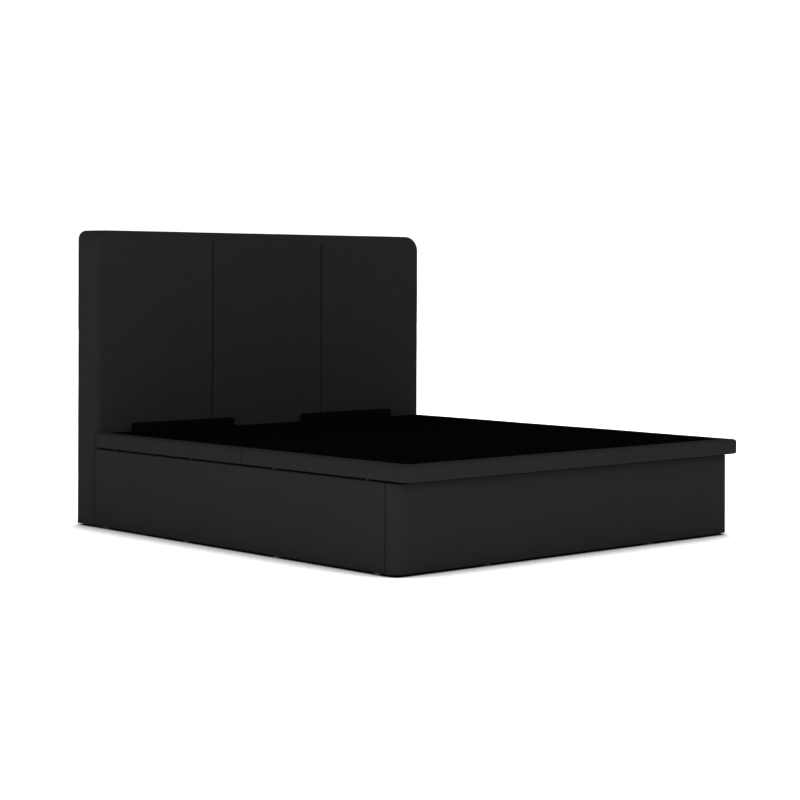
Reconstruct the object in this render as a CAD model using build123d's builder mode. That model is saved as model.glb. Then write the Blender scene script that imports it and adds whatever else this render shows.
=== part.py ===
"""Upholstered storage bed whose mattress platform lifts on a pair of gas-sprung linkages.

Frame: +Z up, +Y towards the headboard, origin on the floor under the middle of the bed.
"""
from build123d import *
from math import atan2, degrees, hypot
import os

os.makedirs("parts", exist_ok=True)

# ---------------------------------------------------------------- overall sizes
bed_width = 1940.0
base_length = 1980.0
headboard_depth = 145.0
headboard_height = 1304.0
panel_height = 338.0
platform_height = 62.0
foot_overhang = 58.0
glide_height = 8.0
platform_lift_gap = 7.0
platform_head_gap = 8.0
groove_gap = 2.0
seam_gap = 1.0

# ---------------------------------------------------------------- boards and padding
pad = 10.0
pad_top = 4.0
pad_wrap = 2.0
side_board = 30.0
foot_board = 50.0
foot_corner_radius = 45.0
edge_round = 6.0
cleat = 20.0
floor_board = 4.0
bearer_width = 60.0
glide_radius = 15.0

# ---------------------------------------------------------------- headboard
headboard_corner = 72.0
headboard_back_corner = 38.0
headboard_front_round = 30.0
headboard_back_round = 8.0
headboard_front_pad = 40.0
headboard_side_pad = 20.0
headboard_face = 12.0
headboard_back = 4.0
stile_width = 90.0
headboard_rail = 45.0
head_panel_drop = 28.0

# ---------------------------------------------------------------- platform
rim_width = 61.0
rim_corner = 40.0
rim_top_round = 12.0
rim_bottom_round = 8.0
rim_underwrap = 48.0
deck_corner = 25.0
deck_cloth_thickness = 2.0
deck_board_thickness = 12.0
frame_rail = 80.0
joint_rail = 36.0
slat_width = 60.0
slat_depth = 30.0
slats_per_half = 3
seam_from_foot = 988.0
stop_length = 560.0
stop_depth = 22.0
stop_height = 39.0
stop_offset = 487.0
stop_centre = -18.0
stop_head_gap = 4.0
stop_corner = 9.0
bumper_radius = 8.0
bumper_clearance = 0.3

# ---------------------------------------------------------------- steel fittings
bracket_leg = 40.0
bracket_steel = 3.0
bracket_floor_gap = 28.0
bracket_top_gap = 46.0
bolt_radius = 4.0
bolt_head_radius = 7.0
bolt_head = 4.0
bolt_bite = 22.0
plate_steel = 4.0
arm_steel = 5.0
plate_gap = 0.5
lid_plate_gap = 1.0
arm_half_width = 15.0
lug_radius = 17.0
base_bar_half_width = 20.0
plate_bolt_start = 110.0
pin_radius = 5.0
pin_head_radius = 8.0
pin_head = 2.0
running_fit = 0.05
open_pivot_clearance = 0.9
stud_radius = 4.0
stud_head_radius = 6.5
stud_head = 2.5
strut_eye_radius = 9.0
strut_eye_width = 10.0
strut_eye_clearance = 0.6
strut_offset = 36.0
tube_radius = 11.0
tube_bore = 9.0
tube_start = 13.0
tube_wall_end = 6.0
gland = 4.0
rod_radius = 4.0
piston_clearance = 0.1
piston_length = 10.0
piston_start = 22.0
rod_showing = 30.0

# Pivots of the lift. First value: distance in front of the headboard. Second value: distance below the
# top of the panels, or above the floor boards for the front arm's and the strut's lower pivots.
arm_foot = (407.0, 46.0)
arm_head = (191.0, 12.0)
front_arm_foot = (755.0, 68.0)
front_arm_head = (261.0, 84.0)
strut_foot = (253.0, 60.0)
strut_head = (154.0, 56.0)
lid_angle_from = 110.0
lid_angle_to = 560.0
lid_angle_drop = 24.0
lid_angle_shelf = 30.0

# ---------------------------------------------------------------- derived places
bed_length = foot_overhang + base_length + headboard_depth
half_width = bed_width / 2
y_platform_foot = -bed_length / 2
y_base_foot = y_platform_foot + foot_overhang
y_headboard = y_base_foot + base_length
y_back = bed_length / 2
y_platform_head = y_headboard - platform_head_gap
foot_depth = pad + foot_board
y_foot_inside = y_base_foot + foot_depth
y_side_from = y_foot_inside + groove_gap
y_side_to = y_headboard - seam_gap
y_seam = y_platform_foot + seam_from_foot

z_bottom = glide_height
z_board_bottom = z_bottom + pad_wrap
z_panel = z_bottom + panel_height
z_board_top = z_panel - pad_top
z_platform = z_panel + platform_lift_gap
z_deck = z_platform + platform_height
z_deck_board = z_deck - deck_cloth_thickness
z_frame_top = z_deck_board - deck_board_thickness
z_frame_bottom = z_platform + pad_wrap
z_floor_board = z_bottom + cleat
z_floor_top = z_floor_board + floor_board
z_headboard_top = z_bottom + headboard_height
z_stop_top = z_deck + stop_height

x_inside = half_width - pad - side_board
x_rail_out = half_width - pad
x_rail_in = x_rail_out - frame_rail
x_deck = half_width - rim_width
x_plate = x_inside - plate_steel
x_main_out = x_plate - plate_gap
x_main_in = x_main_out - arm_steel
x_front_out = x_main_in - running_fit - pin_head - plate_gap
x_front_in = x_front_out - arm_steel
x_lid_plate_out = x_front_in - lid_plate_gap
x_lid_plate_in = x_lid_plate_out - plate_steel
x_strut = x_inside - strut_offset


def hung(place):
    """A pivot as (y, z), hung from the line of the panels' top."""
    return (y_headboard - place[0], z_panel - place[1])


def stood(place):
    """A pivot as (y, z), stood up from the floor boards."""
    return (y_headboard - place[0], z_floor_top + place[1])


A_arm, C_arm, D_arm, H_strut = hung(arm_foot), hung(arm_head), hung(front_arm_head), hung(strut_head)
B_arm, G_strut = stood(front_arm_foot), stood(strut_foot)
sides = (("left", -1), ("right", 1))


# ---------------------------------------------------------------- shared shapes
def slab(x, y, z, mode=Mode.ADD):
    """A square-edged board between two x, two y and two z values."""
    with Locations(((x[0] + x[1]) / 2, (y[0] + y[1]) / 2, (z[0] + z[1]) / 2)):
        Box(abs(x[1] - x[0]), abs(y[1] - y[0]), abs(z[1] - z[0]), mode=mode)


def round_x(x, y, z, radius, mode=Mode.ADD):
    """A round bar along X between two x values."""
    with Locations(((x[0] + x[1]) / 2, y, z)):
        Cylinder(radius, abs(x[1] - x[0]), rotation=(0, 90, 0), mode=mode)


def round_y(x, y, z, radius, mode=Mode.ADD):
    """A round bar along Y between two y values."""
    with Locations((x, (y[0] + y[1]) / 2, z)):
        Cylinder(radius, abs(y[1] - y[0]), rotation=(90, 0, 0), mode=mode)


def round_z(x, y, z, radius, mode=Mode.ADD):
    """A round bar along Z between two z values."""
    with Locations((x, y, (z[0] + z[1]) / 2)):
        Cylinder(radius, abs(z[1] - z[0]), mode=mode)


def link_outline(start, end, half_breadth):
    """The outline of a flat bar with round ends, between two pivots (y, z)."""
    run_y, run_z = end[0] - start[0], end[1] - start[1]
    with Locations(((start[0] + end[0]) / 2, (start[1] + end[1]) / 2)):
        SlotCenterToCenter(hypot(run_y, run_z), 2 * half_breadth, rotation=degrees(atan2(run_z, run_y)))


def spread(start, end, count):
    """Evenly spaced values from start to end, both included."""
    return [start + (end - start) * step / (count - 1) for step in range(count)]


def save(piece, label):
    piece.part.label = label
    export_step(piece.part, f"parts/{label}.step")


# ---------------------------------------------------------------- fixing points
bracket_z = (z_floor_top + bracket_floor_gap, z_panel - bracket_top_gap)
bracket_bolt_z = spread(bracket_z[0] + bracket_leg / 2, bracket_z[1] - bracket_leg / 2, 3)
bracket_mid = (bracket_leg + bracket_steel) / 2
y_foot_bracket_bolt = y_foot_inside + bracket_mid
y_head_bracket_bolt = y_headboard - bracket_mid
x_bracket_bolt = x_inside - bracket_mid
plate_bolt_points = [
    (y, B_arm[1] + (G_strut[1] - B_arm[1]) * (y - B_arm[0]) / (G_strut[0] - B_arm[0]))
    for y in spread(B_arm[0] + plate_bolt_start, G_strut[0] - 2 * base_bar_half_width, 3)
]
plate_bolt_points.append(((G_strut[0] + A_arm[0]) / 2, (G_strut[1] + A_arm[1]) / 2))
side_bolt_points = [(y_foot_bracket_bolt, z) for z in bracket_bolt_z]
side_bolt_points += [(y_head_bracket_bolt, z) for z in bracket_bolt_z]
lid_screw_y = spread(y_headboard - lid_angle_to + lug_radius, y_headboard - lid_angle_from - lug_radius, 5)
x_lid_screw = x_lid_plate_in - lid_angle_shelf / 2
joint_bolt_x = spread(-0.8 * x_rail_in, 0.8 * x_rail_in, 4)
joint_bolt_z = (z_frame_bottom + z_frame_top) / 2
y_stop = y_platform_head - stop_head_gap - stop_depth / 2
y_stop_notch = y_stop - stop_depth / 2 - seam_gap
stop_x = {side: stop_centre + sign * stop_offset for side, sign in sides}
stop_bolt_x = [x + way * stop_length / 3 for x in stop_x.values() for way in (-1, 1)]

# ---------------------------------------------------------------- headboard
# A timber frame faced with board, wrapped in foam and cloth round its front, sides and top.
head_pocket_half = x_inside + seam_gap
y_face = y_headboard + headboard_front_pad
y_frame = (y_face + headboard_face, y_back - headboard_back)
x_head_frame = half_width - headboard_side_pad
z_head_frame = z_headboard_top - headboard_side_pad
head_frame_corner = headboard_corner - headboard_side_pad
z_top_rail = z_head_frame - head_frame_corner - headboard_rail
z_head_panel = (z_board_bottom, z_panel - head_panel_drop)


def headboard_outline(half, top):
    """A rectangle that stands on the panels' bottom line."""
    with Locations((0, (z_bottom + top) / 2)):
        Rectangle(2 * half, top - z_bottom)


with BuildPart() as headboard_cover:
    with BuildSketch(Plane.XZ.offset(-y_face)) as front_outline:
        headboard_outline(half_width, z_headboard_top)
        fillet(front_outline.vertices().group_by(Axis.Y)[-1], headboard_corner)
    extrude(amount=headboard_front_pad)
    with BuildSketch(Plane.XZ.offset(-y_face)) as middle_outline:
        headboard_outline(half_width, z_headboard_top)
        fillet(middle_outline.vertices().group_by(Axis.Y)[-1], headboard_corner)
    with BuildSketch(Plane.XZ.offset(-y_back)) as back_outline:
        headboard_outline(half_width, z_headboard_top)
        fillet(back_outline.vertices().group_by(Axis.Y)[-1], headboard_back_corner)
    loft(ruled=True)
    front_edges = headboard_cover.faces().sort_by(Axis.Y)[0].edges().sort_by(Axis.Z)[1:]
    fillet(front_edges, headboard_front_round)
    back_edges = headboard_cover.faces().sort_by(Axis.Y)[-1].edges().sort_by(Axis.Z)[1:]
    fillet(back_edges, headboard_back_round)
    with BuildSketch(Plane.XZ.offset(-y_back)) as hollow_outline:
        headboard_outline(x_head_frame, z_head_frame)
        fillet(hollow_outline.vertices().group_by(Axis.Y)[-1], head_frame_corner)
    extrude(amount=headboard_depth - headboard_front_pad, mode=Mode.SUBTRACT)
    slab((-head_pocket_half, head_pocket_half), (y_headboard, y_face), (z_bottom, z_head_panel[1]),
         Mode.SUBTRACT)
save(headboard_cover, "headboard_cover")

for label, y_from, thickness in (
    ("headboard_face_board", y_face, headboard_face),
    ("headboard_back_panel", y_back - headboard_back, headboard_back),
):
    with BuildPart() as board:
        with BuildSketch(Plane.XZ.offset(-y_from - thickness)) as board_outline:
            headboard_outline(x_head_frame, z_head_frame)
            fillet(board_outline.vertices().group_by(Axis.Y)[-1], head_frame_corner)
        extrude(amount=thickness)
        if label == "headboard_face_board":
            for x in (-x_bracket_bolt, x_bracket_bolt):
                for z in bracket_bolt_z:
                    round_y(x, (y_from, y_from + thickness), z, bolt_radius, Mode.SUBTRACT)
    save(board, label)

for side, sign in sides:
    with BuildPart() as stile:
        slab((sign * (x_head_frame - stile_width), sign * x_head_frame), y_frame,
             (z_bottom, z_top_rail))
        for z in bracket_bolt_z:
            round_y(sign * x_bracket_bolt, (y_frame[0], y_frame[0] + bolt_bite), z, bolt_radius,
                    Mode.SUBTRACT)
    save(stile, f"headboard_stile_{side}")

with BuildPart() as headboard_top_rail:
    with BuildSketch(Plane.XZ.offset(-y_frame[1])) as rail_outline:
        headboard_outline(x_head_frame, z_head_frame)
        fillet(rail_outline.vertices().group_by(Axis.Y)[-1], head_frame_corner)
    extrude(amount=y_frame[1] - y_frame[0])
    slab((-half_width, half_width), y_frame, (z_bottom, z_top_rail), Mode.SUBTRACT)
save(headboard_top_rail, "headboard_top_rail")

x_between_stiles = x_head_frame - stile_width
with BuildPart() as headboard_cross_rails:
    for z in spread(z_bottom + headboard_rail, z_top_rail - 4 * headboard_rail, 3):
        slab((-x_between_stiles, x_between_stiles), y_frame, (z, z + headboard_rail))
save(headboard_cross_rails, "headboard_cross_rails")

with BuildPart() as head_panel:
    slab((-x_inside, x_inside), (y_headboard, y_face), z_head_panel)
    for x in (-x_bracket_bolt, x_bracket_bolt):
        for z in bracket_bolt_z:
            round_y(x, (y_headboard, y_face), z, bolt_radius, Mode.SUBTRACT)
save(head_panel, "head_panel")

with BuildPart() as headboard_glides:
    for x in spread(-(x_head_frame - stile_width / 2), x_head_frame - stile_width / 2, 2):
        for y in (y_frame[0] + glide_radius + pad_wrap, y_frame[1] - glide_radius - pad_wrap):
            round_z(x, y, (0, glide_height), glide_radius)
save(headboard_glides, "headboard_glides")

# ---------------------------------------------------------------- side and foot panels
for side, sign in sides:
    with BuildPart() as side_panel:
        slab((sign * x_inside, sign * x_rail_out), (y_side_from, y_side_to), (z_board_bottom, z_board_top))
        for y, z in side_bolt_points + plate_bolt_points:
            round_x((sign * x_inside, sign * (x_inside + bolt_bite)), y, z, bolt_radius, Mode.SUBTRACT)
    save(side_panel, f"side_panel_{side}")

    with BuildPart() as side_cover:
        slab((sign * x_inside, sign * half_width), (y_side_from, y_side_to), (z_bottom, z_panel))
        outer_edges = side_cover.edges().filter_by(Axis.Y).group_by(Axis.X)[-1 if sign > 0 else 0]
        fillet(outer_edges, edge_round)
        slab((sign * x_inside, sign * x_rail_out), (y_side_from, y_side_to), (z_board_bottom, z_board_top),
             Mode.SUBTRACT)
    save(side_cover, f"side_cover_{side}")


def foot_plan(inset):
    """Plan of the foot panel, drawn in from its outer face."""
    with Locations((0, y_base_foot + (inset + foot_depth) / 2)):
        Rectangle(2 * (half_width - inset), foot_depth - inset)


with BuildPart() as foot_panel:
    with BuildSketch(Plane.XY.offset(z_board_bottom)) as foot_board_plan:
        foot_plan(pad)
        fillet(foot_board_plan.vertices().group_by(Axis.Y)[0], foot_corner_radius - pad)
    extrude(amount=z_board_top - z_board_bottom)
    for x in (-x_bracket_bolt, x_bracket_bolt):
        for z in bracket_bolt_z:
            round_y(x, (y_foot_inside - bolt_bite, y_foot_inside), z, bolt_radius, Mode.SUBTRACT)
save(foot_panel, "foot_panel")

with BuildPart() as foot_cover:
    with BuildSketch(Plane.XY.offset(z_bottom)) as foot_cover_plan:
        foot_plan(0)
        fillet(foot_cover_plan.vertices().group_by(Axis.Y)[0], foot_corner_radius)
    extrude(amount=panel_height)
    top_edges = foot_cover.faces().sort_by(Axis.Z)[-1].edges().sort_by(Axis.Y)[:-1]
    bottom_edges = foot_cover.faces().sort_by(Axis.Z)[0].edges().sort_by(Axis.Y)[:-1]
    fillet(top_edges + bottom_edges, edge_round)
    with BuildSketch(Plane.XY.offset(z_board_bottom)) as foot_hollow_plan:
        foot_plan(pad)
        fillet(foot_hollow_plan.vertices().group_by(Axis.Y)[0], foot_corner_radius - pad)
    extrude(amount=z_board_top - z_board_bottom, mode=Mode.SUBTRACT)
save(foot_cover, "foot_cover")

# ---------------------------------------------------------------- floor of the storage space
x_end_cleat = x_inside - cleat
with BuildPart() as floor_cleats_side:
    for _, sign in sides:
        slab((sign * x_end_cleat, sign * x_inside), (y_side_from, y_side_to), (z_bottom, z_floor_board))
save(floor_cleats_side, "floor_cleats_side")

with BuildPart() as floor_cleats_end:
    for y in (y_foot_inside, y_headboard - cleat):
        slab((-x_end_cleat, x_end_cleat), (y, y + cleat), (z_bottom, z_floor_board))
save(floor_cleats_end, "floor_cleats_end")

with BuildPart() as floor_bearer:
    slab((-bearer_width / 2, bearer_width / 2), (y_foot_inside + cleat, y_headboard - cleat),
         (z_bottom, z_floor_board))
save(floor_bearer, "floor_bearer")

for side, sign in sides:
    with BuildPart() as floor_sheet:
        slab((sign * seam_gap / 2, sign * x_inside), (y_side_from, y_side_to),
             (z_floor_board, z_floor_top))
    save(floor_sheet, f"floor_board_{side}")

with BuildPart() as base_glides:
    glide_inset = half_width - pad - side_board / 2
    for y in spread(y_side_from + 4 * glide_radius, y_side_to - 4 * glide_radius, 4):
        for x in (-glide_inset, 0, glide_inset):
            round_z(x, y, (0, glide_height), glide_radius)
    for x in (-glide_inset / 2, glide_inset / 2):
        round_z(x, y_base_foot + foot_depth / 2, (0, glide_height), glide_radius)
save(base_glides, "base_glides")

# ---------------------------------------------------------------- corner brackets and their bolts
for label, y_corner, way in (
    ("corner_brackets_foot", y_foot_inside, 1),
    ("corner_brackets_head", y_headboard, -1),
):
    with BuildPart() as corner_brackets:
        for _, sign in sides:
            slab((sign * (x_inside - bracket_steel), sign * x_inside),
                 (y_corner, y_corner + way * bracket_leg), bracket_z)
            slab((sign * (x_inside - bracket_leg), sign * x_inside),
                 (y_corner, y_corner + way * bracket_steel), bracket_z)
            for z in bracket_bolt_z:
                round_x((sign * (x_inside - bracket_steel), sign * x_inside), y_corner + way * bracket_mid, z,
                        bolt_radius, Mode.SUBTRACT)
                round_y(sign * x_bracket_bolt, (y_corner, y_corner + way * bracket_steel), z, bolt_radius,
                        Mode.SUBTRACT)
    save(corner_brackets, label)

x_bracket_face = x_inside - bracket_steel
with BuildPart() as bracket_bolts:
    for _, sign in sides:
        for y, z in side_bolt_points:
            round_x((sign * x_bracket_face, sign * (x_inside + bolt_bite)), y, z, bolt_radius)
            round_x((sign * (x_bracket_face - bolt_head), sign * x_bracket_face), y, z, bolt_head_radius)
        for z in bracket_bolt_z:
            y_face_in = y_foot_inside + bracket_steel
            round_y(sign * x_bracket_bolt, (y_foot_inside - bolt_bite, y_face_in), z, bolt_radius)
            round_y(sign * x_bracket_bolt, (y_face_in, y_face_in + bolt_head), z, bolt_head_radius)
save(bracket_bolts, "bracket_bolts")

with BuildPart() as headboard_bolts:
    for _, sign in sides:
        for z in bracket_bolt_z:
            y_face_out = y_headboard - bracket_steel
            round_y(sign * x_bracket_bolt, (y_face_out, y_frame[0] + bolt_bite), z, bolt_radius)
            round_y(sign * x_bracket_bolt, (y_face_out - bolt_head, y_face_out), z, bolt_head_radius)
save(headboard_bolts, "headboard_bolts")

# ---------------------------------------------------------------- lift: fixed side
for side, sign in sides:
    plate_start = x_plate if sign > 0 else -x_inside
    with BuildPart() as base_plate:
        with BuildSketch(Plane.YZ.offset(plate_start)):
            link_outline(B_arm, G_strut, base_bar_half_width)
            link_outline(G_strut, A_arm, base_bar_half_width)
            with Locations(A_arm, B_arm):
                Circle(pin_radius, mode=Mode.SUBTRACT)
            with Locations(G_strut):
                Circle(stud_radius, mode=Mode.SUBTRACT)
            with Locations(*plate_bolt_points):
                Circle(bolt_radius, mode=Mode.SUBTRACT)
        extrude(amount=plate_steel)
    save(base_plate, f"base_plate_{side}")

with BuildPart() as base_plate_bolts:
    for _, sign in sides:
        for y, z in plate_bolt_points:
            round_x((sign * x_plate, sign * (x_inside + bolt_bite)), y, z, bolt_radius)
            round_x((sign * (x_plate - plate_steel), sign * x_plate), y, z, bolt_head_radius)
save(base_plate_bolts, "base_plate_bolts")

with BuildPart() as arm_pivot_pins:
    for _, sign in sides:
        for (y, z), x_arm in ((A_arm, x_main_in), (B_arm, x_front_in)):
            x_head = x_arm - running_fit
            round_x((sign * x_head, sign * x_inside), y, z, pin_radius)
            round_x((sign * (x_head - pin_head), sign * x_head), y, z, pin_head_radius)
        round_x((sign * (x_front_out + running_fit), sign * x_plate), *B_arm, pin_head_radius)
save(arm_pivot_pins, "arm_pivot_pins")

x_stud_end = x_strut - strut_eye_width / 2 - plate_gap
with BuildPart() as strut_studs_base:
    for _, sign in sides:
        y, z = G_strut
        round_x((sign * x_stud_end, sign * x_inside), y, z, stud_radius)
        round_x((sign * (x_stud_end - stud_head), sign * x_stud_end), y, z, stud_head_radius)
save(strut_studs_base, "strut_studs_base")

# ---------------------------------------------------------------- lift: arms
# The main arm lies against the base plate, and the front arm swings past it in a plane further in.
for side, sign in sides:
    with BuildPart() as main_arm:
        with BuildSketch(Plane.YZ.offset(x_main_in if sign > 0 else -x_main_out)):
            link_outline(A_arm, C_arm, arm_half_width)
            with Locations(A_arm, C_arm):
                Circle(pin_radius + running_fit, mode=Mode.SUBTRACT)
        extrude(amount=arm_steel)
    save(main_arm, f"main_arm_{side}")

    with BuildPart() as front_arm:
        with BuildSketch(Plane.YZ.offset(x_front_in if sign > 0 else -x_front_out)):
            link_outline(B_arm, D_arm, arm_half_width)
            with Locations(B_arm):
                Circle(pin_radius + running_fit, mode=Mode.SUBTRACT)
            with Locations(D_arm):
                Circle(pin_radius + open_pivot_clearance, mode=Mode.SUBTRACT)
        extrude(amount=arm_steel)
    save(front_arm, f"front_arm_{side}")

# ---------------------------------------------------------------- lift: gas struts
# Each strut is a closed tube with an eye on the base stud, and a piston rod with an eye on the lid stud.
strut_run = Vector(0, H_strut[0] - G_strut[0], H_strut[1] - G_strut[1])
strut_length = strut_run.length
strut_way = strut_run.normalized()
tube_end = strut_length - rod_showing


def strut_plane(x, along):
    """A plane square across the strut, a distance along it from its base eye."""
    return Plane(origin=Vector(x, *G_strut) + strut_way * along, z_dir=strut_way)


def strut_bar(x, start, end, radius, mode=Mode.ADD):
    """A round length of the strut between two distances from its base eye."""
    with BuildSketch(strut_plane(x, start)) as section:
        Circle(radius)
    extrude(section.sketch, amount=end - start, mode=mode)


def strut_eye(x, place, hole_radius):
    """A flat eye round a stud."""
    with BuildSketch(Plane.YZ.offset(x - strut_eye_width / 2)) as eye_ring:
        with Locations(place):
            Circle(strut_eye_radius)
    extrude(eye_ring.sketch, amount=strut_eye_width)
    round_x((x - strut_eye_width, x + strut_eye_width), place[0], place[1], hole_radius, Mode.SUBTRACT)


for side, sign in sides:
    x = sign * x_strut
    with BuildPart() as strut_cylinder:
        strut_bar(x, tube_start, tube_end, tube_radius)
        strut_bar(x, strut_eye_radius / 2, tube_start, strut_eye_width / 2)
        strut_bar(x, tube_start + tube_wall_end, tube_end - gland, tube_bore, Mode.SUBTRACT)
        strut_bar(x, tube_end - gland, tube_end, rod_radius + running_fit, Mode.SUBTRACT)
        strut_eye(x, G_strut, stud_radius + running_fit)
    save(strut_cylinder, f"strut_cylinder_{side}")

    with BuildPart() as strut_rod:
        strut_bar(x, piston_start, piston_start + piston_length, tube_bore - piston_clearance)
        strut_bar(x, piston_start + piston_length, strut_length - strut_eye_radius / 2, rod_radius)
        strut_eye(x, H_strut, stud_radius + strut_eye_clearance)
    save(strut_rod, f"strut_rod_{side}")

# ---------------------------------------------------------------- lift: lid side
y_lid_angle = (y_headboard - lid_angle_to, y_headboard - lid_angle_from)
z_shelf = (z_frame_bottom - plate_steel, z_frame_bottom)
for side, sign in sides:
    web_start = x_lid_plate_in if sign > 0 else -x_lid_plate_out
    with BuildPart() as lid_plate:
        with BuildSketch(Plane.YZ.offset(web_start)):
            with Locations(C_arm, D_arm, H_strut):
                Circle(lug_radius)
            make_hull()
            with Locations((sum(y_lid_angle) / 2, z_shelf[0] - lid_angle_drop / 2)):
                Rectangle(y_lid_angle[1] - y_lid_angle[0], lid_angle_drop)
            with Locations(C_arm, D_arm):
                Circle(pin_radius, mode=Mode.SUBTRACT)
            with Locations(H_strut):
                Circle(stud_radius, mode=Mode.SUBTRACT)
        extrude(amount=plate_steel)
        slab((sign * (x_lid_plate_in - lid_angle_shelf), sign * x_lid_plate_out), y_lid_angle, z_shelf)
        slab((sign * x_lid_plate_in, sign * x_lid_plate_out), y_lid_angle, (z_frame_bottom, z_deck),
             Mode.SUBTRACT)
        for y in lid_screw_y:
            round_z(sign * x_lid_screw, y, z_shelf, bolt_radius, Mode.SUBTRACT)
    save(lid_plate, f"lid_plate_{side}")

with BuildPart() as lid_plate_screws:
    for _, sign in sides:
        for y in lid_screw_y:
            round_z(sign * x_lid_screw, y, (z_shelf[0], z_frame_bottom + bolt_bite), bolt_radius)
            round_z(sign * x_lid_screw, y, (z_shelf[0] - bolt_head, z_shelf[0]), bolt_head_radius)
save(lid_plate_screws, "lid_plate_screws")

with BuildPart() as lid_pivot_pins:
    for _, sign in sides:
        for (y, z), x_arm in ((C_arm, x_main_out), (D_arm, x_front_out)):
            round_x((sign * x_lid_plate_in, sign * (x_arm - running_fit)), y, z, pin_radius)
            round_x((sign * (x_lid_plate_in - pin_head), sign * x_lid_plate_in), y, z, pin_head_radius)
        round_x((sign * x_lid_plate_out, sign * (x_main_in - running_fit)), *C_arm, pin_head_radius)
save(lid_pivot_pins, "lid_pivot_pins")

with BuildPart() as strut_studs_lid:
    for _, sign in sides:
        y, z = H_strut
        round_x((sign * x_stud_end, sign * x_lid_plate_out), y, z, stud_radius)
        round_x((sign * (x_stud_end - stud_head), sign * x_stud_end), y, z, stud_head_radius)
save(strut_studs_lid, "strut_studs_lid")

# ---------------------------------------------------------------- platform frame
# Two ladder frames, head and foot, bolted together under the seam of the rim.
z_frame = (z_frame_bottom, z_frame_top)
y_foot_rail = (y_platform_foot + pad, y_platform_foot + pad + frame_rail)
y_head_rail = (y_platform_head - pad_wrap - frame_rail, y_platform_head - pad_wrap)

with BuildPart() as frame_side_rails_head:
    for _, sign in sides:
        slab((sign * x_rail_in, sign * x_rail_out), (y_seam + seam_gap / 2, y_head_rail[1]), z_frame)
        for y in lid_screw_y:
            round_z(sign * x_lid_screw, y, (z_frame_bottom, z_frame_bottom + bolt_bite), bolt_radius,
                    Mode.SUBTRACT)
save(frame_side_rails_head, "frame_side_rails_head")

with BuildPart() as frame_side_rails_foot:
    for _, sign in sides:
        slab((sign * x_rail_in, sign * x_rail_out), (y_foot_rail[1], y_seam - seam_gap / 2), z_frame)
save(frame_side_rails_foot, "frame_side_rails_foot")

with BuildPart() as frame_head_rail:
    slab((-x_rail_in, x_rail_in), y_head_rail, z_frame)
    for x in stop_bolt_x:
        round_z(x, y_stop, z_frame, bolt_radius, Mode.SUBTRACT)
save(frame_head_rail, "frame_head_rail")

with BuildPart() as frame_foot_rail:
    with BuildSketch(Plane.XY.offset(z_frame_bottom)) as foot_rail_plan:
        with Locations((0, sum(y_foot_rail) / 2)):
            Rectangle(2 * x_rail_out, frame_rail)
        fillet(foot_rail_plan.vertices().group_by(Axis.Y)[0], rim_corner - pad)
    extrude(amount=z_frame_top - z_frame_bottom)
save(frame_foot_rail, "frame_foot_rail")

y_joint = (y_seam - seam_gap / 2 - joint_rail, y_seam + seam_gap / 2 + joint_rail)
with BuildPart() as frame_joint_rails:
    slab((-x_rail_in, x_rail_in), (y_joint[0], y_seam - seam_gap / 2), z_frame)
    slab((-x_rail_in, x_rail_in), (y_seam + seam_gap / 2, y_joint[1]), z_frame)
    for x in joint_bolt_x:
        round_y(x, y_joint, joint_bolt_z, bolt_radius, Mode.SUBTRACT)
save(frame_joint_rails, "frame_joint_rails")

with BuildPart() as frame_joint_bolts:
    for x in joint_bolt_x:
        round_y(x, y_joint, joint_bolt_z, bolt_radius)
        for y, way in ((y_joint[0], -1), (y_joint[1], 1)):
            round_y(x, (y, y + way * bolt_head), joint_bolt_z, bolt_head_radius)
save(frame_joint_bolts, "frame_joint_bolts")

with BuildPart() as platform_slats:
    for y_from, y_to in ((y_foot_rail[1], y_joint[0]), (y_joint[1], y_head_rail[0])):
        for y in spread(y_from, y_to, slats_per_half + 2)[1:-1]:
            slab((-x_rail_in, x_rail_in), (y - slat_width / 2, y + slat_width / 2),
                 (z_frame_top - slat_depth, z_frame_top))
save(platform_slats, "platform_slats")


# ---------------------------------------------------------------- deck
def deck_plan(y_from, y_to):
    """Plan of a deck layer between two y values, which stops at the rim."""
    with Locations((0, (y_from + y_to) / 2)):
        Rectangle(2 * x_deck, y_to - y_from)


y_deck_foot = y_platform_foot + rim_width
with BuildPart() as deck_board_foot:
    with BuildSketch(Plane.XY.offset(z_frame_top)) as board_plan:
        deck_plan(y_deck_foot, y_seam - seam_gap / 2)
        fillet(board_plan.vertices().group_by(Axis.Y)[0], deck_corner)
    extrude(amount=deck_board_thickness)
save(deck_board_foot, "deck_board_foot")

with BuildPart() as deck_board_head:
    slab((-x_deck, x_deck), (y_seam + seam_gap / 2, y_platform_head), (z_frame_top, z_deck_board))
    for x in stop_bolt_x:
        round_z(x, y_stop, (z_frame_top, z_deck_board), bolt_radius, Mode.SUBTRACT)
save(deck_board_head, "deck_board_head")

# The cloth is cut away round the two stops, which stand on the board.
with BuildPart() as deck_cloth:
    with BuildSketch(Plane.XY.offset(z_deck_board)) as cloth_plan:
        deck_plan(y_deck_foot, y_platform_head)
        fillet(cloth_plan.vertices().group_by(Axis.Y)[0], deck_corner)
        with Locations(*[(x, (y_stop_notch + y_platform_head) / 2) for x in stop_x.values()]):
            Rectangle(stop_length + 2 * seam_gap, y_platform_head - y_stop_notch, mode=Mode.SUBTRACT)
    extrude(amount=deck_cloth_thickness)
save(deck_cloth, "deck_cloth")

# ---------------------------------------------------------------- padded rim
# Foam and cloth over the outer edge of the frame: a U round the foot half, a straight run each side
# of the head half.
rim_layers = (
    (rim_width, deck_corner, z_frame_top, z_deck),
    (pad, rim_corner - pad, z_frame_bottom, z_frame_top),
    (rim_underwrap, deck_corner, z_platform, z_frame_bottom),
)
y_rim_foot_end = y_seam - seam_gap / 2
y_rim_head_start = y_seam + seam_gap / 2

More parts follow.
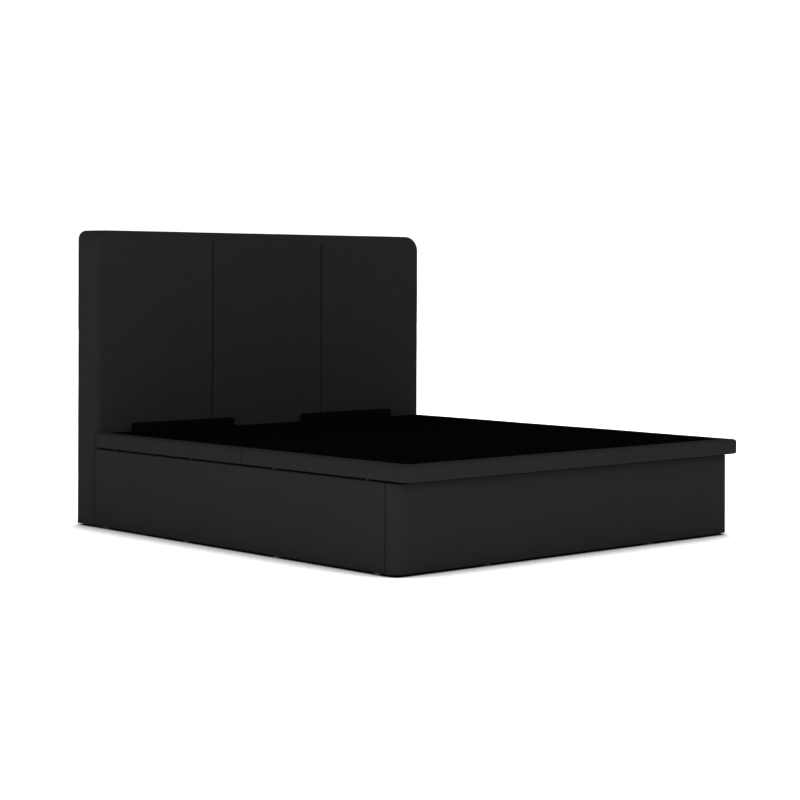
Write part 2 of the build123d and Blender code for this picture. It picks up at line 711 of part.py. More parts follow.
with BuildPart() as rim_cover_foot:
    with BuildSketch(Plane.XY.offset(z_platform)) as rim_plan:
        with Locations((0, (y_platform_foot + y_rim_foot_end) / 2)):
            Rectangle(bed_width, y_rim_foot_end - y_platform_foot)
        fillet(rim_plan.vertices().group_by(Axis.Y)[0], rim_corner)
    extrude(amount=platform_height)
    fillet(rim_cover_foot.faces().sort_by(Axis.Z)[-1].edges().sort_by(Axis.Y)[:-1], rim_top_round)
    fillet(rim_cover_foot.faces().sort_by(Axis.Z)[0].edges().sort_by(Axis.Y)[:-1], rim_bottom_round)
    for inset, corner, z_low, z_high in rim_layers:
        with BuildSketch(Plane.XY.offset(z_low)) as layer_plan:
            with Locations((0, (y_platform_foot + inset + y_rim_foot_end) / 2)):
                Rectangle(bed_width - 2 * inset, y_rim_foot_end - y_platform_foot - inset)
            fillet(layer_plan.vertices().group_by(Axis.Y)[0], corner)
        extrude(amount=z_high - z_low, mode=Mode.SUBTRACT)
save(rim_cover_foot, "rim_cover_foot")

for side, sign in sides:
    with BuildPart() as rim_cover_side:
        slab((sign * (half_width - rim_width), sign * half_width), (y_rim_head_start, y_platform_head),
             (z_platform, z_deck))
        for place, radius in ((-1, rim_top_round), (0, rim_bottom_round)):
            level_edges = rim_cover_side.edges().filter_by(Axis.Y).group_by(Axis.Z)[place]
            fillet(level_edges.sort_by(Axis.X)[-1 if sign > 0 else 0], radius)
        slab((sign * x_rail_in, sign * x_rail_out), (y_rim_head_start, y_head_rail[1]), z_frame,
             Mode.SUBTRACT)
        slab((sign * x_rail_in, sign * (half_width - rim_underwrap)), (y_rim_head_start, y_platform_head),
             (z_platform, z_frame_bottom), Mode.SUBTRACT)
    save(rim_cover_side, f"rim_cover_{side}")

# ---------------------------------------------------------------- mattress stops
for side, _ in sides:
    with BuildPart() as mattress_stop:
        with BuildSketch(Plane.XZ.offset(-y_stop - stop_depth / 2)) as stop_outline:
            with Locations((stop_x[side], (z_deck_board + z_stop_top) / 2)):
                Rectangle(stop_length, z_stop_top - z_deck_board)
            fillet(stop_outline.vertices().group_by(Axis.Y)[-1], stop_corner)
        extrude(amount=stop_depth)
        for x in stop_bolt_x:
            round_z(x, y_stop, (z_deck_board, z_deck_board + bolt_bite), bolt_radius, Mode.SUBTRACT)
    save(mattress_stop, f"mattress_stop_{side}")

with BuildPart() as stop_bolts:
    for x in stop_bolt_x:
        round_z(x, y_stop, (z_frame_bottom, z_deck_board + bolt_bite), bolt_radius)
        round_z(x, y_stop, (z_frame_bottom - bolt_head, z_frame_bottom), bolt_head_radius)
save(stop_bolts, "stop_bolts")

# ---------------------------------------------------------------- bumpers under the platform
bumper_height = platform_lift_gap - bumper_clearance
with BuildPart() as platform_bumpers:
    x_bumper = half_width - pad - side_board / 2
    for y in spread(y_side_from + 2 * foot_depth, y_side_to - 2 * foot_depth, 4):
        for x in (-x_bumper, x_bumper):
            round_z(x, y, (z_panel, z_panel + bumper_height), bumper_radius)
    for x in (-half_width / 2, half_width / 2):
        round_z(x, y_base_foot + foot_depth / 4, (z_panel, z_panel + bumper_height), bumper_radius)
save(platform_bumpers, "platform_bumpers")
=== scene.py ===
from math import cos, pi, radians, sin, sqrt, tanh

import bmesh
import bpy
from mathutils import Matrix, Vector, noise


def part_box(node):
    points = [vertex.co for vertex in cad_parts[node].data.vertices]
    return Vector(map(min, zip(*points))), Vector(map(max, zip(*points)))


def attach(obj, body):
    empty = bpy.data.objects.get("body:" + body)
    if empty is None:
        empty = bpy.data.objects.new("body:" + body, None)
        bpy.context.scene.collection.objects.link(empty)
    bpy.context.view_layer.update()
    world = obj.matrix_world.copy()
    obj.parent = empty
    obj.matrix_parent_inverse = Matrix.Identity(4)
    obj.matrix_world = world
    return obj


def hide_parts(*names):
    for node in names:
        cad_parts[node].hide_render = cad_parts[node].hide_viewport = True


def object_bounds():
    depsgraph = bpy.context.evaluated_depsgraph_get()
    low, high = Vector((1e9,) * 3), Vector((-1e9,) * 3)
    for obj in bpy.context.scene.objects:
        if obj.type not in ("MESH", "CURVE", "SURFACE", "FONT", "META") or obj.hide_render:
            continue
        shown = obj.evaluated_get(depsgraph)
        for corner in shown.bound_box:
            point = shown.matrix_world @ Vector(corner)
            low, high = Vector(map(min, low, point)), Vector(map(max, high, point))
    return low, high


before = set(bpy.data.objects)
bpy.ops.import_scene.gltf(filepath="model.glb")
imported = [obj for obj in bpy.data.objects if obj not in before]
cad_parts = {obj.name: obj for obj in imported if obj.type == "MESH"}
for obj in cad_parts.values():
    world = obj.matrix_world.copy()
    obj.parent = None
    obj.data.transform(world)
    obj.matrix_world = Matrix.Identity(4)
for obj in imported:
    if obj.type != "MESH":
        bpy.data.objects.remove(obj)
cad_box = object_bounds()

# ---------------------------------------------------------------- studio
# A white floor under an even white sky, with one soft box off the foot of the bed and one off its
# left side.
bed_low, bed_high = cad_box
bed_centre = (bed_low + bed_high) / 2
scene = bpy.context.scene
scene.view_settings.view_transform = "Standard"


def node(tree, kind, inputs=(), **settings):
    """Adds a shader node, sets its properties, and fills its sockets with values or links."""
    made = tree.nodes.new(kind)
    for name, value in settings.items():
        setattr(made, name, value)
    for name, value in dict(inputs).items():
        if isinstance(value, bpy.types.NodeSocket):
            tree.links.new(value, made.inputs[name])
        else:
            made.inputs[name].default_value = value
    return made


def studio_sky(strength):
    world = bpy.data.worlds.new("studio_sky")
    world.use_nodes = True
    world.node_tree.nodes.clear()
    light = node(world.node_tree, "ShaderNodeBackground", {"Color": (1, 1, 1, 1), "Strength": strength})
    node(world.node_tree, "ShaderNodeOutputWorld", {"Surface": light.outputs[0]})
    scene.world = world


def studio_floor(size, whiteness, contact, fall):
    """A large white floor whose colour darkens within the contact distance of whatever stands on it: a
    painted contact shadow.
    """
    bm = bmesh.new()
    bmesh.ops.create_grid(bm, x_segments=1, y_segments=1, size=size / 2)
    mesh = bpy.data.meshes.new("floor")
    bm.to_mesh(mesh)
    bm.free()
    paint = bpy.data.materials.new("floor_paint")
    paint.use_nodes = True
    tree = paint.node_tree
    coat = tree.nodes["Principled BSDF"]
    # Painted shadow: ambient occlusion darkens the floor's colour near the bed.
    shade = node(tree, "ShaderNodeAmbientOcclusion", {"Distance": contact}, samples=8).outputs["AO"]
    soft = node(tree, "ShaderNodeMath", {0: shade, 1: fall}, operation="POWER").outputs[0]
    white_with_painted_shadow = node(tree, "ShaderNodeMath", {0: soft, 1: whiteness}, operation="MULTIPLY").outputs[0]
    tree.links.new(white_with_painted_shadow, coat.inputs["Base Color"])
    coat.inputs["Roughness"].default_value = 1.0
    coat.inputs["Specular IOR Level"].default_value = 0.0
    mesh.materials.append(paint)
    floor = bpy.data.objects.new("floor", mesh)
    scene.collection.objects.link(floor)


def soft_box(name, place, width, power):
    """A square area light that faces the middle of the bed."""
    lamp = bpy.data.lights.new(name, "AREA")
    lamp.size, lamp.energy = width, power
    box = bpy.data.objects.new(name, lamp)
    box.location = place
    box.rotation_euler = (bed_centre - Vector(place)).to_track_quat("-Z", "Y").to_euler()
    box.visible_camera = False
    scene.collection.objects.link(box)


studio_sky(1.21)
studio_floor(size=60.0, whiteness=1.75, contact=0.23, fall=1.7)
soft_box("soft_box_foot", (-0.4, -4.2, 2.1), width=1.3, power=44.0)
soft_box("soft_box_side", (-4.2, -1.2, 0.9), width=1.6, power=44.0)

# The camera stands off the foot corner on the left, level, a little lower than the headboard's top.
camera_azimuth = radians(42.09)
camera_distance = 8.6884
camera_aside = 0.0137
camera_height = 1.099
camera_roll = radians(0.168)
lens_data = bpy.data.cameras.new("camera")
lens_data.lens = 89.26
lens_data.sensor_width = 36.0
lens_data.shift_y = -0.1512
camera = bpy.data.objects.new("camera", lens_data)
camera.location = (bed_centre.x - camera_distance * sin(camera_azimuth) - camera_aside * cos(camera_azimuth),
                   bed_centre.y - camera_distance * cos(camera_azimuth) + camera_aside * sin(camera_azimuth),
                   camera_height)
camera.rotation_euler = (Matrix.Rotation(-camera_azimuth, 3, "Z") @ Matrix.Rotation(pi / 2, 3, "X")
                         @ Matrix.Rotation(camera_roll, 3, "Z")).to_euler()
scene.collection.objects.link(camera)
scene.camera = camera

# ---------------------------------------------------------------- charcoal cloth
# The bed is covered in one plain-woven charcoal cloth: flat matt yarn, slightly mottled, the
# threads level and upright on every face whichever way the board behind it looks.


def maths(tree, operation, *values):
    return node(tree, "ShaderNodeMath", dict(enumerate(values)), operation=operation).outputs[0]


def blend_colour(tree, share, first, second):
    return node(tree, "ShaderNodeMix", {0: share, 6: first, 7: second}, data_type="RGBA").outputs[2]


def pick(tree, share, first, second):
    return node(tree, "ShaderNodeMix", {0: share, 2: first, 3: second}, data_type="FLOAT").outputs[0]


def noisy(tree, place, scale, detail):
    return node(tree, "ShaderNodeTexNoise", {"Vector": place, "Scale": scale, "Detail": detail}).outputs[0]


def effect(name, takes, gives):
    """An empty shader group with these inputs and outputs; returns the group, its input and its output."""
    group = bpy.data.node_groups.new(name, "ShaderNodeTree")
    for way, sockets in (("INPUT", takes), ("OUTPUT", gives)):
        for label, kind in sockets.items():
            group.interface.new_socket(name=label, in_out=way, socket_type=kind)
    return group, node(group, "NodeGroupInput"), node(group, "NodeGroupOutput")


def give(group, out, **values):
    """Joins these values to the group's outputs; returns the group."""
    for name, value in values.items():
        group.links.new(value, out.inputs[name])
    return group


def use(tree, group, inputs):
    return node(tree, "ShaderNodeGroup", inputs, node_tree=group).outputs


def parts_of(tree, vector):
    return node(tree, "ShaderNodeSeparateXYZ", {0: vector}).outputs


def make_cloth_lie():
    """Puts two flat coordinates on each face of a covered board, from the way the face looks."""
    group, given, out = effect("cloth_lie", {"Place": "NodeSocketVector", "Facing": "NodeSocketVector"},
                               {"Lie": "NodeSocketVector"})
    place, facing = parts_of(group, given.outputs["Place"]), parts_of(group, given.outputs["Facing"])
    mostly = 0.7
    sideways = maths(group, "GREATER_THAN", maths(group, "ABSOLUTE", facing[0]), mostly)
    level = maths(group, "GREATER_THAN", maths(group, "ABSOLUTE", facing[2]), mostly)
    across = pick(group, sideways, place[0], place[1])
    along = pick(group, level, place[2], place[1])
    return give(group, out, Lie=node(group, "ShaderNodeCombineXYZ", {0: across, 1: along}).outputs[0])


def make_plain_weave():
    """Threads over and under each other: the height of the crossings, and which way each one lies."""
    group, given, out = effect("plain_weave", {"Lie": "NodeSocketVector", "Thread": "NodeSocketFloat"},
                               {"Height": "NodeSocketFloat", "Over": "NodeSocketFloat"})
    lie = parts_of(group, given.outputs["Lie"])
    turn = maths(group, "DIVIDE", pi, given.outputs["Thread"])
    warp = maths(group, "SINE", maths(group, "MULTIPLY", lie[0], turn))
    weft = maths(group, "SINE", maths(group, "MULTIPLY", lie[1], turn))
    crossing = maths(group, "MULTIPLY", warp, weft)
    return give(group, out, Height=maths(group, "ABSOLUTE", crossing),
                Over=maths(group, "GREATER_THAN", crossing, 0.0))


def make_slubs():
    """Long thin flecks both ways of the weave, where a thread is thicker or its dye is deeper."""
    group, given, out = effect("slubs", {"Lie": "NodeSocketVector", "Length": "NodeSocketFloat",
                                         "Width": "NodeSocketFloat"}, {"Fleck": "NodeSocketFloat"})
    lie = parts_of(group, given.outputs["Lie"])
    length, width = given.outputs["Length"], given.outputs["Width"]
    runs = []
    for first, second in ((length, width), (width, length)):
        place = node(group, "ShaderNodeCombineXYZ", {0: maths(group, "DIVIDE", lie[0], first),
                                                     1: maths(group, "DIVIDE", lie[1], second)}).outputs[0]
        runs.append(noisy(group, place, 1.0, 2.0))
    return give(group, out, Fleck=pick(group, 0.5, runs[0], runs[1]))


cloth_lie, plain_weave, slubs = make_cloth_lie(), make_plain_weave(), make_slubs()


def grey(value):
    return (value, value, value, 1)


def new_finish(name):
    """A new material, its tree, its surface shader and the object's coordinates."""
    finish = bpy.data.materials.new(name)
    finish.use_nodes = True
    tree = finish.node_tree
    return finish, tree, tree.nodes["Principled BSDF"], node(tree, "ShaderNodeTexCoord").outputs


def bumped(tree, skin, height, strength=0.6):
    bump = node(tree, "ShaderNodeBump", {"Strength": strength, "Distance": 1.0, "Height": height})
    tree.links.new(bump.outputs[0], skin.inputs["Normal"])


def roughened(tree, skin, by, low, high):
    """Lets a value from 0 to 1 set how rough the surface is, between these two."""
    spread = node(tree, "ShaderNodeMapRange", {0: by, 3: low, 4: high})
    tree.links.new(spread.outputs[0], skin.inputs["Roughness"])


def share_of(tree, value, share):
    return maths(tree, "MULTIPLY", value, share)


def woven(name, dark, light, thread, weave_depth, fuzz):
    """A woven upholstery cloth between two greys."""
    finish, tree, skin, place = new_finish(name)
    lie = use(tree, cloth_lie, {"Place": place["Object"], "Facing": place["Normal"]})["Lie"]
    weave = use(tree, plain_weave, {"Lie": lie, "Thread": thread})
    fleck = use(tree, slubs, {"Lie": lie, "Length": 30 * thread, "Width": 1.5 * thread})["Fleck"]
    cloud = noisy(tree, place["Object"], 6.0, 3.0)
    tone = maths(tree, "ADD", share_of(tree, weave["Over"], 0.3), share_of(tree, fleck, 0.7))
    body = blend_colour(tree, tone, grey(dark), grey(light))
    faded = blend_colour(tree, share_of(tree, cloud, 0.16), body, grey(light))
    # Painted shade: the cloth is darkened by this attribute, which marks the seams, the headboard's groove
    # and the rim's join.
    seam_shade = node(tree, "ShaderNodeAttribute", attribute_name="seam_shade").outputs["Fac"]
    colour = blend_colour(tree, share_of(tree, seam_shade, 0.35), faded, grey(dark * 0.3))
    tree.links.new(colour, skin.inputs["Base Color"])
    roughened(tree, skin, fleck, 0.82, 0.98)
    bumped(tree, skin, share_of(tree, maths(tree, "ADD", weave["Height"], fleck), weave_depth))
    skin.inputs["Specular IOR Level"].default_value = 0.0
    skin.inputs["Sheen Weight"].default_value = fuzz
    skin.inputs["Sheen Roughness"].default_value = 0.5
    return finish


charcoal = woven("charcoal_cloth", dark=0.0036, light=0.0168, thread=0.0013, weave_depth=0.00030, fuzz=0.004)
black_cloth = woven("black_cloth", dark=0.0006, light=0.0020, thread=0.0009, weave_depth=0.00015, fuzz=0.0)

# ---------------------------------------------------------------- boards
# The box, the headboard's face and the deck are bare chipboard: pressed flakes of pale wood, sanded,
# with a little dust on whatever looks up.


def dress(finish, *names):
    """Gives CAD pieces their finish."""
    for name in names:
        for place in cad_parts[name].material_slots:
            place.material = finish


def stretched(tree, place, along, across, up):
    """The place with each direction scaled, so that a noise read there is drawn out."""
    return node(tree, "ShaderNodeMapping", {"Vector": place, "Scale": (along, across, up)}).outputs[0]


def make_dust():
    """How much dust lies on a face: only where it looks up, and in soft patches."""
    group, given, out = effect("settled_dust", {"Place": "NodeSocketVector", "Facing": "NodeSocketVector"},
                               {"Dust": "NodeSocketFloat"})
    facing = parts_of(group, given.outputs["Facing"])
    up = node(group, "ShaderNodeMapRange", {0: facing[2], 1: 0.5, 2: 0.95}).outputs[0]
    patch = noisy(group, given.outputs["Place"], 14.0, 5.0)
    return give(group, out, Dust=maths(group, "MULTIPLY", up, patch))


def make_flakes():
    """Pressed wood flakes: a shade for each flake, and the dark line where two meet."""
    group, given, out = effect("wood_flakes", {"Place": "NodeSocketVector", "Flake": "NodeSocketFloat"},
                               {"Shade": "NodeSocketFloat", "Join": "NodeSocketFloat"})
    scale = maths(group, "DIVIDE", 1.0, given.outputs["Flake"])
    place = given.outputs["Place"]
    drift = node(group, "ShaderNodeTexNoise", {"Vector": place, "Scale": 160.0}).outputs["Color"]
    place = node(group, "ShaderNodeMix", {0: 0.004, 4: place, 5: drift}, data_type="VECTOR").outputs[1]
    shade = node(group, "ShaderNodeTexVoronoi", {"Vector": place, "Scale": scale}).outputs["Color"]
    edge = node(group, "ShaderNodeTexVoronoi", {"Vector": place, "Scale": scale},
                feature="DISTANCE_TO_EDGE").outputs["Distance"]
    return give(group, out, Shade=node(group, "ShaderNodeSeparateColor", {0: shade}).outputs[0],
                Join=node(group, "ShaderNodeMapRange", {0: edge, 1: 0.0, 2: 0.12, 3: 1.0, 4: 0.0}).outputs[0])


settled_dust, wood_flakes = make_dust(), make_flakes()
wood_dust = (0.55, 0.52, 0.48, 1)


def dusted(tree, skin, place, colour, share, shade):
    """Colours the surface, with this share of pale dust where it looks up."""
    dust = use(tree, settled_dust, {"Place": place["Object"], "Facing": place["Normal"]})["Dust"]
    tree.links.new(blend_colour(tree, share_of(tree, dust, share), colour, shade), skin.inputs["Base Color"])


def pressed_board(name, pale, deep, flake, relief):
    """A board pressed from flakes of this size, between two shades of wood."""
    finish, tree, skin, place = new_finish(name)
    chips = use(tree, wood_flakes, {"Place": place["Object"], "Flake": flake})
    fines = noisy(tree, place["Object"], 3.0 / flake, 4.0)
    cloud = noisy(tree, place["Object"], 5.0, 2.0)
    tone = maths(tree, "ADD", share_of(tree, chips["Shade"], 0.5), share_of(tree, fines, 0.5))
    wood = blend_colour(tree, tone, pale, deep)
    joined = blend_colour(tree, share_of(tree, chips["Join"], 0.35), wood, deep)
    aged = blend_colour(tree, share_of(tree, cloud, 0.3), joined, deep)
    dusted(tree, skin, place, aged, 0.25, wood_dust)
    roughened(tree, skin, tone, 0.62, 0.85)
    bumped(tree, skin, share_of(tree, tone, relief))
    skin.inputs["Specular IOR Level"].default_value = 0.3
    return finish


chipboard = pressed_board("chipboard", pale=(0.52, 0.39, 0.25, 1), deep=(0.31, 0.20, 0.11, 1),
                          flake=0.005, relief=0.00025)
dress(chipboard, "side_panel_left", "side_panel_right", "foot_panel", "head_panel", "headboard_face_board",
      "deck_board_foot", "deck_board_head")

# ---------------------------------------------------------------- floor of the box
# Two sheets of thin dark hardboard lie on softwood cleats round the box and on a bearer down its middle.
hardboard = pressed_board("hardboard", pale=(0.17, 0.145, 0.125, 1), deep=(0.10, 0.08, 0.065, 1),
                          flake=0.0012, relief=0.00005)
dress(hardboard, "floor_board_left", "floor_board_right")


def make_grain():
    """Softwood grain along Z: year rings, fine fibres and a few knots."""
    gives = dict.fromkeys(("Rings", "Fibres", "Knots"), "NodeSocketFloat")
    group, given, out = effect("softwood_grain", {"Place": "NodeSocketVector"}, gives)
    place = given.outputs["Place"]
    drawn = stretched(group, place, 1.0, 1.0, 0.06)
    rings = node(group, "ShaderNodeTexWave", {"Vector": drawn, "Scale": 38.0, "Distortion": 7.0,
                                              "Detail": 2.0, "Detail Scale": 0.4},
                 wave_type="RINGS", rings_direction="Z", wave_profile="SAW").outputs["Fac"]
    fibres = noisy(group, stretched(group, place, 900.0, 900.0, 12.0), 1.0, 3.0)
    wide = stretched(group, place, 9.0, 9.0, 2.6)
    spots = node(group, "ShaderNodeTexVoronoi", {"Vector": wide, "Scale": 1.0}).outputs["Distance"]
    knots = node(group, "ShaderNodeMapRange", {0: spots, 1: 0.05, 2: 0.11, 3: 1.0, 4: 0.0}).outputs[0]
    return give(group, out, Rings=rings, Fibres=fibres, Knots=knots)


softwood_grain = make_grain()


def pine(name, axis):
    """Planed pine with its grain along one axis."""
    finish, tree, skin, place = new_finish(name)
    parts = parts_of(tree, place["Object"])
    others = [parts[a] for a in range(3) if a != axis]
    turned = node(tree, "ShaderNodeCombineXYZ", {0: others[0], 1: others[1], 2: parts[axis]})
    grain = use(tree, softwood_grain, {"Place": turned.outputs[0]})
    tone = maths(tree, "ADD", share_of(tree, grain["Rings"], 0.65), share_of(tree, grain["Fibres"], 0.35))
    wood = blend_colour(tree, tone, (0.62, 0.44, 0.25, 1), (0.42, 0.25, 0.115, 1))
    knotty = blend_colour(tree, share_of(tree, grain["Knots"], 0.8), wood, (0.14, 0.065, 0.028, 1))
    dusted(tree, skin, place, knotty, 0.2, wood_dust)
    roughened(tree, skin, grain["Fibres"], 0.5, 0.72)
    bumped(tree, skin, share_of(tree, tone, 0.0002))
    skin.inputs["Specular IOR Level"].default_value = 0.35
    return finish


pine_across, pine_lengthways, pine_upright = (pine(f"pine_{way}", axis) for axis, way in enumerate(
    ("across", "lengthways", "upright")))
dress(pine_lengthways, "floor_cleats_side", "floor_bearer")
dress(pine_across, "floor_cleats_end")

# ---------------------------------------------------------------- feet
# Turned black plastic glides are nailed under the box and under the headboard's stiles.


def moulded(name, dark, light, texture, rough_from, rough_to):
    """Moulded black plastic or rubber with a fine grain and a little dust."""
    finish, tree, skin, place = new_finish(name)
    grain = noisy(tree, place["Object"], 1.0 / texture, 3.0)
    dusted(tree, skin, place, blend_colour(tree, grain, grey(dark), grey(light)), 0.15, grey(0.35))
    roughened(tree, skin, grain, rough_from, rough_to)
    bumped(tree, skin, share_of(tree, grain, 0.00008))
    return finish


glide_plastic = moulded("glide_plastic", 0.014, 0.022, texture=0.0009, rough_from=0.38, rough_to=0.55)
dress(glide_plastic, "base_glides", "headboard_glides")

# ---------------------------------------------------------------- brackets and bolts
# Pressed steel angles in satin black powder coat hold the corners, with bright zinc bolts.


def make_scuffs():
    """Fine scratches in several directions, and a soft wandering haze."""
    group, given, out = effect("scuffs", {"Place": "NodeSocketVector"},
                               {"Scratch": "NodeSocketFloat", "Haze": "NodeSocketFloat"})
    lines = []
    for spin, scale in ((0.4, (6.0, 900.0, 900.0)), (1.9, (9.0, 1300.0, 1300.0))):
        turned = node(group, "ShaderNodeMapping", {"Vector": given.outputs["Place"], "Rotation": (spin,) * 3,
                                                   "Scale": scale}).outputs[0]
        line = noisy(group, turned, 1.0, 2.0)
        lines.append(node(group, "ShaderNodeMapRange", {0: line, 1: 0.66, 2: 0.72}).outputs[0])
    return give(group, out, Scratch=maths(group, "MAXIMUM", lines[0], lines[1]),
                Haze=noisy(group, given.outputs["Place"], 26.0, 4.0))


scuffs = make_scuffs()


def powder_coated(name, colour, gloss):
    """Baked powder paint over steel: a fine orange-peel skin with light rubs."""
    finish, tree, skin, place = new_finish(name)
    marks = use(tree, scuffs, {"Place": place["Object"]})
    peel = noisy(tree, place["Object"], 700.0, 2.0)
    worn = blend_colour(tree, share_of(tree, marks["Scratch"], 0.35), grey(colour), grey(colour * 4))
    hazed = blend_colour(tree, share_of(tree, marks["Haze"], 0.25), worn, grey(colour * 1.8))
    dusted(tree, skin, place, hazed, 0.08, grey(0.35))
    roughened(tree, skin, marks["Haze"], gloss - 0.06, gloss + 0.12)
    bumped(tree, skin, share_of(tree, peel, 0.00006), 0.5)
    return finish


def bare_metal(name, dull, bright, rough, crystal):
    """Plated or ground steel, with faint crystals in the plating and fine scratches."""
    finish, tree, skin, place = new_finish(name)
    marks = use(tree, scuffs, {"Place": place["Object"]})
    spangle = node(tree, "ShaderNodeTexVoronoi", {"Vector": place["Object"], "Scale": 1.0 / crystal})
    shade = node(tree, "ShaderNodeSeparateColor", {0: spangle.outputs["Color"]}).outputs[1]
    tone = maths(tree, "ADD", share_of(tree, shade, 0.45), share_of(tree, marks["Haze"], 0.55))
    tree.links.new(blend_colour(tree, tone, dull, bright), skin.inputs["Base Color"])
    roughened(tree, skin, marks["Scratch"], rough, rough + 0.15)
    bumped(tree, skin, share_of(tree, marks["Scratch"], -0.00003), 0.5)
    skin.inputs["Metallic"].default_value = 1.0
    return finish


black_steel = powder_coated("black_steel", 0.016, gloss=0.42)
zinc_plate = bare_metal("zinc_plate", (0.50, 0.52, 0.55, 1), (0.70, 0.71, 0.70, 1), rough=0.26, crystal=0.004)
dress(black_steel, "corner_brackets_foot", "corner_brackets_head")
dress(zinc_plate, "bracket_bolts", "headboard_bolts")

# ---------------------------------------------------------------- side panels
# Each side is a chipboard panel with 10 mm of foam over its outer face, covered in charcoal cloth
# drawn over the top and bottom edges and round both ends.
foam, board_gap = 0.010, 0.0003
sides = (("left", -1), ("right", 1))


def block(low, high):
    """A square-edged block as a bmesh."""
    bm = bmesh.new()
    low, high = Vector(low), Vector(high)
    bmesh.ops.create_cube(bm, size=1.0)
    bmesh.ops.scale(bm, vec=high - low, verts=bm.verts)
    bmesh.ops.translate(bm, vec=(low + high) / 2, verts=bm.verts)
    return bm


def at(value, place):
    return abs(value - place) < 1e-5


def along(part):
    """Whether a direction with this part along an axis runs that way."""
    return abs(part) > 0.9


def within(value, low, high, margin):
    return low + margin < value < high - margin


def round_off(bm, radius, segments, chosen):
    """Rounds the edges for which chosen(middle, direction) holds."""
    bm.normal_update()
    edges = [e for e in bm.edges
             if chosen((e.verts[0].co + e.verts[1].co) / 2, (e.verts[1].co - e.verts[0].co).normalized())]
    bmesh.ops.bevel(bm, geom=edges, offset=radius, offset_type="OFFSET", affect="EDGES",
                    segments=segments, profile=0.5, material=-1, clamp_overlap=True)


def quilt(bm, low, high, spacing):
    """Cuts a shape into cells about this far apart each way, so that its faces can swell."""
    for axis, (start, end, step) in enumerate(zip(low, high, spacing)):
        if not step:
            continue
        normal = Vector((axis == 0, axis == 1, axis == 2))
        count = max(1, round((end - start) / step))
        for cut in range(1, count):
            place = normal * (start + (end - start) * cut / count)
            bmesh.ops.bisect_plane(bm, geom=bm.verts[:] + bm.edges[:] + bm.faces[:], dist=1e-6,
                                   plane_co=place, plane_no=normal)


def soften(bm, amount, size, seed):
    """Lets the cloth rise and fall a little over its foam."""
    bm.normal_update()
    moves = [(v, v.normal * amount * noise.noise(v.co / size + Vector((seed, 0, 0)))) for v in bm.verts]
    for v, move in moves:
        v.co += move


def piece_from(bm, name, finish, sharp=35):
    """Makes a finished bmesh an object at the origin, smooth except at its sharp folds."""
    mesh = bpy.data.meshes.new(name)
    bmesh.ops.recalc_face_normals(bm, faces=bm.faces)
    bm.to_mesh(mesh)
    bm.free()
    mesh.materials.append(finish)
    piece = bpy.data.objects.new(name, mesh)
    scene.collection.objects.link(piece)
    smooth(piece, sharp)
    return piece


def smooth(piece, sharp=35):
    piece.data.shade_smooth()
    piece.data.set_sharp_from_angle(angle=radians(sharp))


def cut_out(piece, *cutters):
    """Takes these bmeshes out of a piece for good."""
    for bm in cutters:
        tool = piece_from(bm, "cutter", piece.data.materials[0])
        cut = piece.modifiers.new("cut", "BOOLEAN")
        cut.operation, cut.solver, cut.object = "DIFFERENCE", "EXACT", tool
        graph = bpy.context.evaluated_depsgraph_get()
        result = bpy.data.meshes.new_from_object(piece.evaluated_get(graph))
        piece.modifiers.clear()
        piece.data = result
        bpy.data.objects.remove(tool)
    smooth(piece)


def upholstered(piece, body, *nodes, fill=0.85, slot="charcoal_upholstery"):
    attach(piece, body)
    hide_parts(*nodes)


def fill_out(piece, held, most, pressure=4.0):
    """Lets the foam push the cloth out where it isn't held, like a cushion, and keeps the shape it takes."""
    start = [v.co.copy() for v in piece.data.vertices]
    sewn = piece.vertex_groups.new(name="sewn")
    sewn.add([i for i, place in enumerate(start) if held(place)], 1.0, "REPLACE")
    cloth = piece.modifiers.new("cloth", "CLOTH")
    cloth.settings.vertex_group_mass = "sewn"
    cloth.settings.use_pressure = True
    cloth.settings.uniform_pressure_force = pressure
    cloth.settings.effector_weights.gravity = 0.0
    for tick in range(1, 21):
        scene.frame_set(tick)
    filled = piece.evaluated_get(bpy.context.evaluated_depsgraph_get()).data
    moves = [v.co - place for v, place in zip(filled.vertices, start)]
    piece.modifiers.clear()
    piece.vertex_groups.clear()
    scene.frame_set(1)
    for v, place, move in zip(piece.data.vertices, start, moves):
        v.co = place + move.normalized() * most * tanh(move.length / most)
    piece.data.update()


panel_round, panel_end_round = 0.006, 0.004
panel_cell, panel_rise, panel_wave = 0.035, 0.0005, 0.16
panel_hold, face_depth, panel_swell = 0.010, 0.003, 0.0018
turned_end = Vector((0, 0.0007, 0))
for side, sign in sides:
    low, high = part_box(f"side_cover_{side}")
    board_low, board_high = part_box(f"side_panel_{side}")
    outer = high.x if sign > 0 else low.x
    bm = block(low - turned_end, high + turned_end)
    round_off(bm, panel_round, 5, lambda middle, run: at(middle.x, outer) and along(run.y))
    round_off(bm, panel_end_round, 4, lambda middle, run: at(middle.x, outer) and along(run.z))
    quilt(bm, low, high, (0, panel_cell, panel_cell))
    soften(bm, panel_rise, panel_wave, 3 * sign)
    cover = piece_from(bm, f"side_upholstery_{side}", charcoal)
    fill_out(cover, lambda place: not (
        abs(place.x - outer) <= face_depth and within(place.y, low.y, high.y, panel_hold)
        and within(place.z, low.z, high.z, panel_hold)), panel_swell)
    inner, wood = sorted((abs(board_low.x), abs(board_high.x)))
    inner, wood = sign * (inner - 0.05), sign * (wood + board_gap)
    cut_out(cover, block((min(inner, wood), low.y - board_gap, board_low.z - board_gap),
                         (max(inner, wood), high.y + board_gap, board_high.z + board_gap)))
    upholstered(cover, "base", f"side_cover_{side}")

